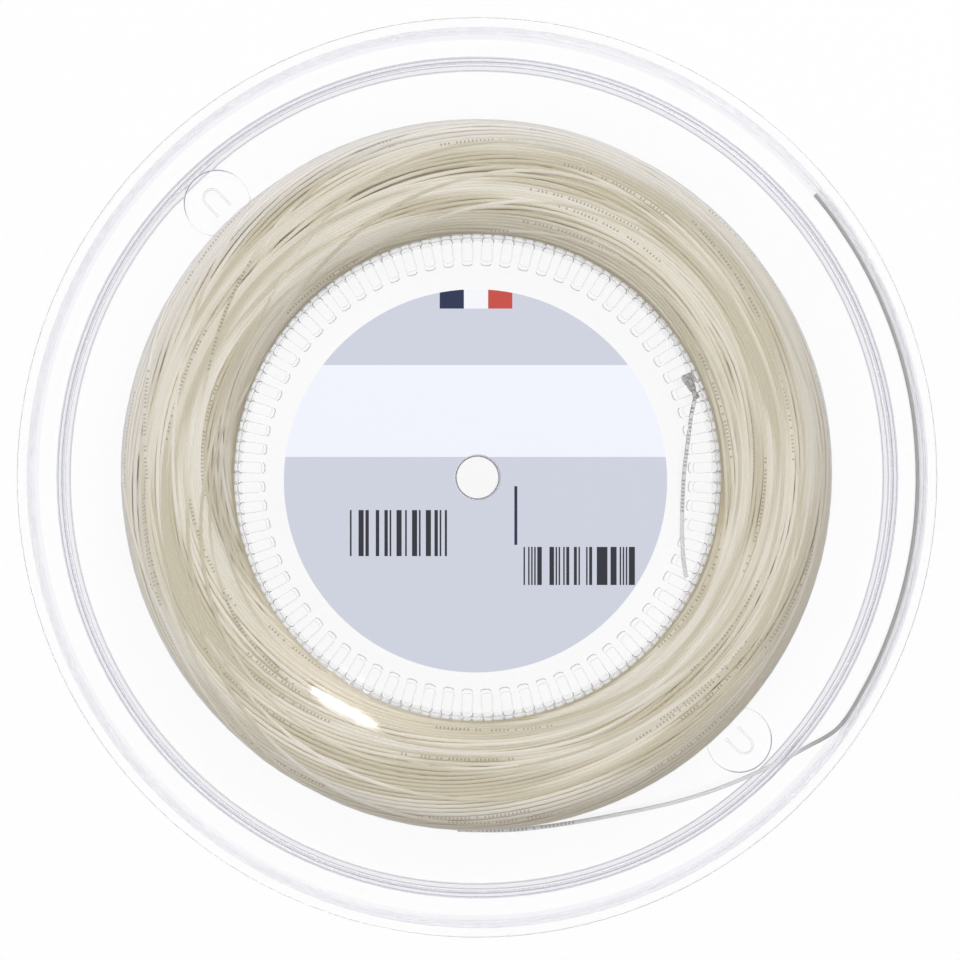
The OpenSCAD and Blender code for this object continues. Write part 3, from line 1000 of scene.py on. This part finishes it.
@dataclass(frozen=True)
class WindingSection:
    """Rounded section that a layer of turns goes round, as radius and height."""

    in_r: float
    out_r: float
    low_z: float
    top_z: float
    outer_corner: float
    inner_corner: float = 1.2 * MM

    def outline(self) -> tuple[np.ndarray, np.ndarray]:
        """Trace the section from the middle of the hub side, over the back, rim and front.

        Returns:
            Points and outward directions, one row each.
        """
        middle = (self.low_z + self.top_z) / 2
        a, b = self.inner_corner, self.outer_corner
        corners = (
            (self.in_r + a, self.low_z + a, a, 180), (self.out_r - b, self.low_z + b, b, 270),
            (self.out_r - b, self.top_z - b, b, 0), (self.in_r + a, self.top_z - a, a, 90),
        )
        points, ways = [(self.in_r, middle)], [(-1.0, 0.0)]
        for r, z, bend, start in corners:
            for degrees in range(start, start + 91, 6):
                way = (math.cos(math.radians(degrees)), math.sin(math.radians(degrees)))
                points.append((r + bend * way[0], z + bend * way[1]))
                ways.append(way)
        points.append((self.in_r, middle))
        ways.append((-1.0, 0.0))
        return np.array(points), np.array(ways)

    def at(self, share: np.ndarray, lift: np.ndarray) -> tuple[np.ndarray, np.ndarray]:
        """Find places on the section.

        Args:
            share: Distance along the outline, in metres.
            lift: Height over the outline, in metres.

        Returns:
            Radius and height of each place.
        """
        points, ways = self.outline()
        along = np.concatenate([[0], np.cumsum(np.linalg.norm(np.diff(points, axis=0), axis=1))])
        share = np.clip(share, 0, along[-1])
        r, z, out, up = (np.interp(share, along, column) for column in (*points.T, *ways.T))
        return r + lift * out, z + lift * up

    def length(self) -> float:
        """Return the outline's length."""
        return float(np.linalg.norm(np.diff(self.outline()[0], axis=0), axis=1).sum())


@dataclass(frozen=True)
class WindingLayer:
    """One unbroken run of turns over the whole section of the winding."""

    name: str
    turns: int
    depth: float
    seed: int
    sway: tuple[float, ...]
    gaps: tuple[tuple[int, float], ...] = ((2, 2.6 * MM), (-3, 2.0 * MM), (5, 1.4 * MM))
    sway_turn: float = 75 * MM
    gap_turn: float = 31 * MM
    hop: float = 0.10
    steps: int = 96
    lift: float = 0.05 * MM
    ease_turns: float = 4.0
    lean: float = 0.8 * MM
    lean_angle: float = 108.0
    lean_from: float = 74 * MM
    lean_over: float = 33 * MM

    def line(self) -> np.ndarray:
        """Trace the layer's centre line.

        The turns sway together across the section and lie side by side in bundles.
        Between the bundles run gaps that open and close, over which each turn hops.
        The whole layer leans a little to one side of the reel.

        Returns:
            Points, one row each.
        """
        section = WindingSection(
            in_r=74.45 * MM + 0.2 * self.depth, out_r=107.15 * MM - self.depth,
            low_z=2.2 * MM + self.depth, top_z=25.8 * MM - self.depth,
            outer_corner=5.2 * MM - 0.4 * self.depth,
        )
        rng = np.random.default_rng(self.seed)
        turn = np.linspace(0, self.turns, self.turns * self.steps + 1)
        angle = 2 * np.pi * turn + rng.uniform(0, 2 * np.pi)
        share = section.length() * turn / self.turns
        drift = np.zeros_like(share)
        lift = np.zeros_like(share)
        for waves, amount in enumerate(self.sway, 1):
            turning = 2 * np.pi * share / self.sway_turn if waves > 1 else 0.0
            drift += amount * np.sin(waves * angle + turning + rng.uniform(0, 2 * np.pi))
        for waves, gap in self.gaps:
            stretch = rng.uniform(9, 15) * MM
            phase = (waves * angle / (2 * np.pi) + share / stretch + rng.uniform()) % 1 - 0.5
            swing = 2 * angle + 2 * np.pi * share / self.gap_turn + rng.uniform(0, 2 * np.pi)
            opening = 0.5 + 0.5 * np.sin(swing)
            drift += gap * opening * (np.tanh(phase / self.hop) / 2 / np.tanh(0.5 / self.hop) - phase)
            lift += self.lift * np.sin(2 * np.pi * phase + rng.uniform(0, 2 * np.pi))
        ease = np.minimum(1, np.minimum(turn, self.turns - turn) / self.ease_turns)
        radius, height = section.at(share + drift * ease, lift * ease)
        outward = np.clip((radius - self.lean_from) / self.lean_over, 0, 1)
        radius = radius + self.lean * np.cos(angle - math.radians(self.lean_angle)) * outward
        return np.stack([radius * np.cos(angle), radius * np.sin(angle), height], axis=1)


@dataclass
class Winding:
    """The wound string: a few loose turns and two close layers over a dim core."""

    layers: tuple[WindingLayer, ...] = (
        WindingLayer("winding_loose_turns", 17, -0.08 * MM, 53, mm(6.0, 4.6, 2.2)),
        WindingLayer("winding_top_turns", 104, 0.14 * MM, 11, mm(4.4, 2.8, 1.4)),
        WindingLayer("winding_second_turns", 104, 0.75 * MM, 23, mm(3.4, 3.2, 1.2)),
    )
    strand: StrandSweep = StrandSweep(sides=8, wander=0.35 * MM)
    core_depth: float = 1.35 * MM
    core_segments: int = 144

    def build_core(self) -> Piece:
        """Turn the dim core under the layers.

        Returns:
            The core.
        """
        d = self.core_depth
        section = WindingSection(74.0 * MM, 107.15 * MM - d, 2.1 * MM + d, 25.9 * MM - d, 4.2 * MM)
        ring = section.outline()[0][:-1]
        angles = 2 * np.pi * np.arange(self.core_segments) / self.core_segments
        points = [(r * math.cos(a), r * math.sin(a), z) for a in angles for r, z in ring]
        n, m = len(ring), self.core_segments
        faces = [(i * n + j, ((i + 1) % m) * n + j, ((i + 1) % m) * n + (j + 1) % n, i * n + (j + 1) % n)
                 for i in range(m) for j in range(n)]
        mesh = bpy.data.meshes.new("winding_core")
        mesh.from_pydata(points, [], faces)
        mesh.materials.append(WoundDepth().material())
        for face in mesh.polygons:
            face.use_smooth = True
        return assign(add_object("winding_core", mesh), "string_core")

    def build(self) -> list[Piece]:
        """Make the core and the layers.

        Returns:
            The pieces.
        """
        finish = RacketString(StringState.WOUND).material()
        pieces = [self.build_core()]
        for layer in self.layers:
            piece = self.strand.sweep(layer.name, layer.line(), finish, layer.seed)
            pieces.append(assign(piece, "string_winding"))
        return pieces


OUTER_END_ROUTE = (
    (-6, -107.2, 14), (4, -107.4, 14), (14, -107, 14), (28, -105.2, 14), (44, -102.3, 14),
    (60, -98.8, 14), (74, -94.4, 14), (88, -88.4, 14), (100, -82.2, 14), (110, -76, 14),
    (117.5, -64.6, 14), (123.6, -52, 14), (128.5, -38.3, 14), (131.9, -24.1, 14),
    (133.7, -9.9, 14), (133.9, 6, 14), (132.3, 22, 14), (128.8, 37.4, 14), (123.6, 52, 14),
    (116.8, 65.9, 14), (108.6, 78.7, 14), (102.8, 86.1, 14),
)
INNER_END_ROUTE = (
    (66.2, 24, 15.5), (65.2, 19, 15), (64.2, 11, 13.4), (63.2, 2, 11), (62.8, -7, 8.4),
    (62.8, -16, 6), (63.2, -23, 4.1), (63.9, -28.5, 2.9), (64.4, -30.6, 2.6),
)


@dataclass
class FreeEnds:
    """The string's two free ends, and the stopper knot on the inner one."""

    steps: int = 8
    strand: StrandSweep = StrandSweep(sides=12)
    knot_strand: StrandSweep = StrandSweep(sides=10)
    knot_steps: int = 4
    knot_points: int = 30
    knot_opening: float = 0.30
    knot_angle: float = 24.3
    knot_radius: float = 70.7 * MM
    knot_height: float = 16.0 * MM
    knot_reach: Point = mm(0.44, 0.98, 0.80)
    knot_stub: tuple[Point, ...] = (mm(0.2, -3.6, -0.9), mm(0.5, -4.6, -1.1), mm(0.5, -5.4, -0.6))

    def build_end(
        self, name: str, node: str, route: Sequence[Point], state: StringState,
    ) -> Piece:
        """Draw a free end along its route and put it in place of its node.

        Args:
            name: The piece's name.
            node: The node that it replaces.
            route: Points of its centre line, in millimetres.
            state: How it lies.

        Returns:
            The end.
        """
        line = smooth_line(route, self.steps) * MM
        piece = self.strand.sweep(name, line, RacketString(state).material())
        assign(piece, node)
        return piece

    def build_knot(self) -> Piece:
        """Tie the stopper knot that lies inside the hub wall.

        Returns:
            The knot.
        """
        first, last = math.pi + self.knot_opening, 3 * math.pi - self.knot_opening
        t = np.linspace(first, last, self.knot_points)
        across, along, up = self.knot_reach
        local = np.stack([
            across * (np.sin(t) + 2 * np.sin(2 * t)),
            along * (np.cos(t) - 2 * np.cos(2 * t)),
            up * -np.sin(3 * t),
        ], axis=1)
        a = math.radians(self.knot_angle)
        out, side = np.array([math.cos(a), math.sin(a), 0]), np.array([-math.sin(a), math.cos(a), 0])
        centre = self.knot_radius * out + np.array([0, 0, self.knot_height])
        tail = np.array(INNER_END_ROUTE[0]) * MM - centre
        local = np.vstack([[tail @ out, tail @ side, tail[2]], local, self.knot_stub])
        lifted = local[:, 2:] * np.array([0, 0, 1])
        line = smooth_line(centre + local[:, :1] * out + local[:, 1:2] * side + lifted, self.knot_steps)
        finish = RacketString(StringState.TIED).material()
        piece = self.knot_strand.sweep("string_stopper_knot", line, finish)
        return assign(piece, "string_knot")

    def build(self) -> list[Piece]:
        """Make both ends and the knot.

        The outer end runs from the coil out to the rim and round inside it, and the
        inner one from its knot down to the back web.

        Returns:
            The pieces.
        """
        knot = self.build_knot()
        outer = self.build_end(
            "string_free_outer_end", "string_outer_end", OUTER_END_ROUTE, StringState.OUTER,
        )
        inner = self.build_end(
            "string_free_inner_end", "string_inner_end", INNER_END_ROUTE, StringState.INNER,
        )
        return [outer, knot, inner]


@dataclass(frozen=True)
class MouldedShading:
    """A Geometry Nodes modifier that shades a node's facets as the smooth faces they stand for.

    It joins the facets and leaves the edges that are sharper than a limit crisp.
    """

    group_name: str = "moulded_shading"
    join_distance: float = 0.001 * MM
    crisp_angle: float = math.radians(30)

    def build(self) -> bpy.types.NodeTree:
        """Build the tree.

        Returns:
            The tree, with an input for each limit.
        """
        t = GeometryTree(self.group_name, {"Join distance": "Float", "Crisp angle": "Float"})
        joined = t.add("GeometryNodeMergeByDistance", {
            "Geometry": t.given["Geometry"], "Distance": t.given["Join distance"],
        })
        faces = t.add("GeometryNodeSetShadeSmooth", {"Geometry": joined, "Shade Smooth": True})
        gentle = t.add("FunctionNodeCompare", {
            "A": t.add("GeometryNodeInputMeshEdgeAngle").outputs["Unsigned Angle"],
            "B": t.given["Crisp angle"],
        }, data_type="FLOAT", operation="LESS_THAN")
        edges = t.add("GeometryNodeSetShadeSmooth", {
            "Geometry": faces, "Shade Smooth": gentle,
        }, domain="EDGE")
        t.add("NodeGroupOutput", {0: edges})
        return t.group

    def put_on(self, pieces: Sequence[Piece]) -> None:
        """Give each piece the modifier."""
        group = self.build()
        for piece in pieces:
            GeometryTree.put_on(piece, group, {
                "Join distance": self.join_distance, "Crisp angle": self.crisp_angle,
            })


@dataclass
class ShellAndLabel:
    """The moulded halves and the label, which keep their shapes from the frame."""

    halves: tuple[str, str] = ("front_half", "back_half")
    label: str = "front_label"

    def dress(self) -> list[Piece]:
        """Give each node its finish.

        Returns:
            The dressed pieces.
        """
        plastic, paper = ClearPlastic().material(), LabelPaper().material()
        dressed = []
        for name, finish in [(half, plastic) for half in self.halves] + [(self.label, paper)]:
            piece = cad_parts[name]
            for place in piece.material_slots:
                place.material = finish
            dressed.append(piece)
        MouldedShading().put_on(dressed)
        return dressed


def main() -> None:
    """Build the scene in order."""
    studio = Studio()
    studio.place_camera()
    pieces = FreeEnds().build()
    pieces += Winding().build()
    pieces += ShellAndLabel().dress()
    studio.build()
    for piece in pieces:
        log.info("%s: %d faces", piece.name, len(piece.data.polygons))


if __name__ == "__main__":
    logging.basicConfig(level=logging.INFO, format="%(name)s %(message)s")
    main()
